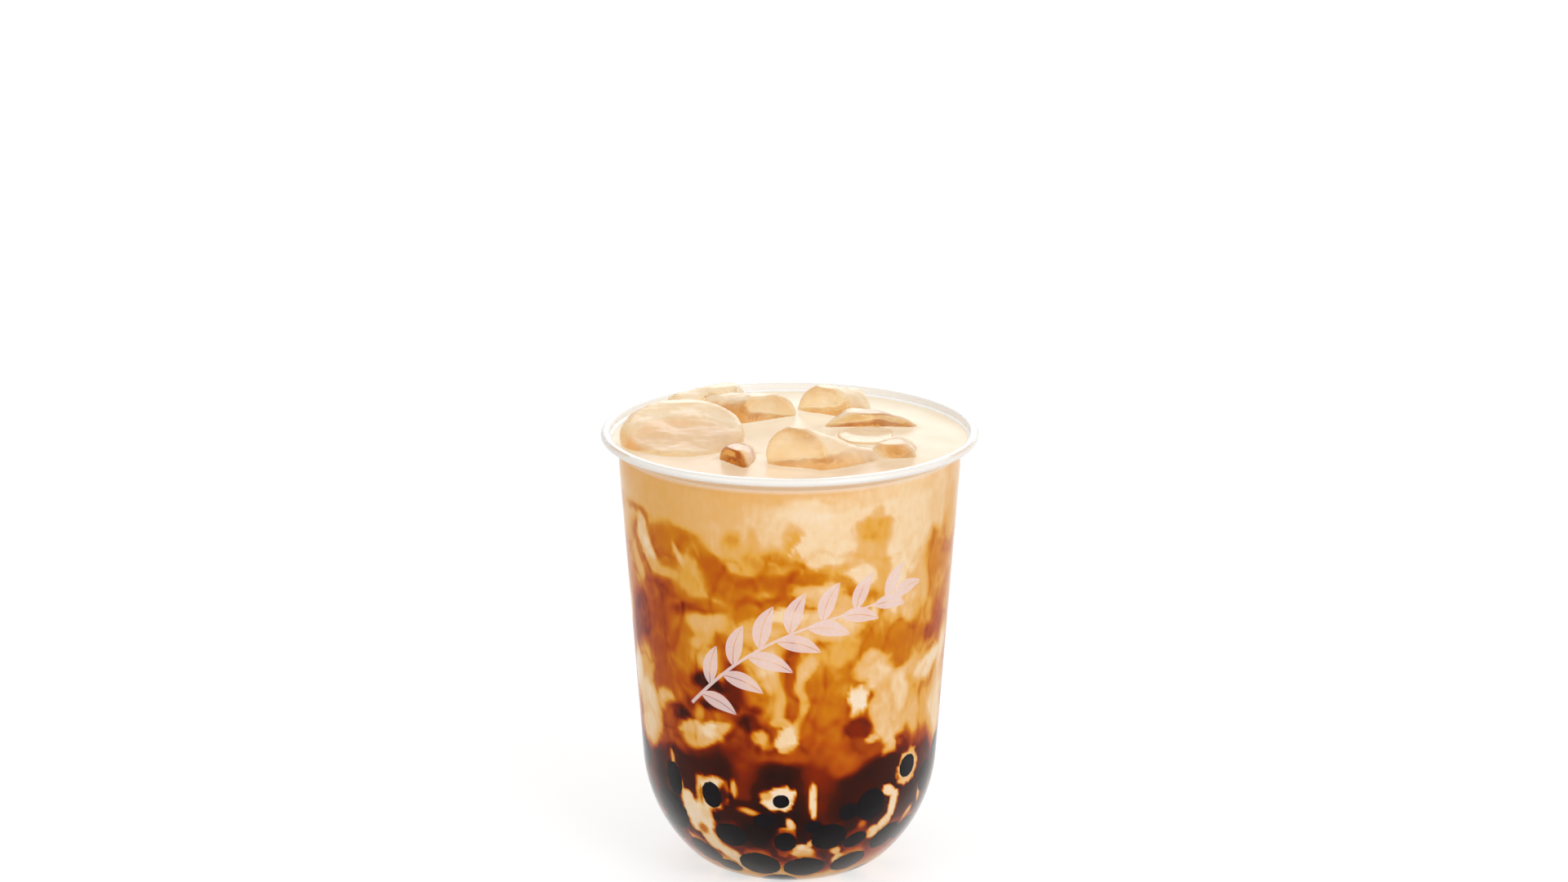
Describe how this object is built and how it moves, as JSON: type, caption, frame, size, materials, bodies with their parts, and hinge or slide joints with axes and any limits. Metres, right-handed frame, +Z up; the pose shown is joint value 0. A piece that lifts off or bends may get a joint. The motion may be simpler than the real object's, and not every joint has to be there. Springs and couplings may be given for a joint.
{
  "type": "bubble tea",
  "caption": "Clear round-bottomed plastic cup of brown sugar milk tea, marbled with syrup, with tapioca pearls at the bottom and ice standing out of the top.",
  "frame": {"origin": "centre of the cup's foot, on the surface that it stands on", "axes": "+Z up along the cup's axis; -Y towards the front, the side that carries the print"},
  "size_m": [0.095, 0.095, 0.1213],
  "materials": {
    "cup": "clear, thin, glossy polypropylene",
    "milk_tea": "opaque milky liquid, marbled amber to dark brown with syrup",
    "pearls": "black, smooth, wet",
    "ice": "cloudy melting ice with a film of milk tea"
  },
  "bodies": {
    "root": {"cup": "cup", "milk_tea": "milk_tea", "pearl_bed": "pearls", "ice_left": "ice", "ice_back_left": "ice", "ice_middle": "ice", "ice_back": "ice", "ice_right": "ice", "ice_slab": "ice", "ice_front": "ice", "ice_front_right": "ice", "ice_chip": "ice"}
  },
  "joints": []
}
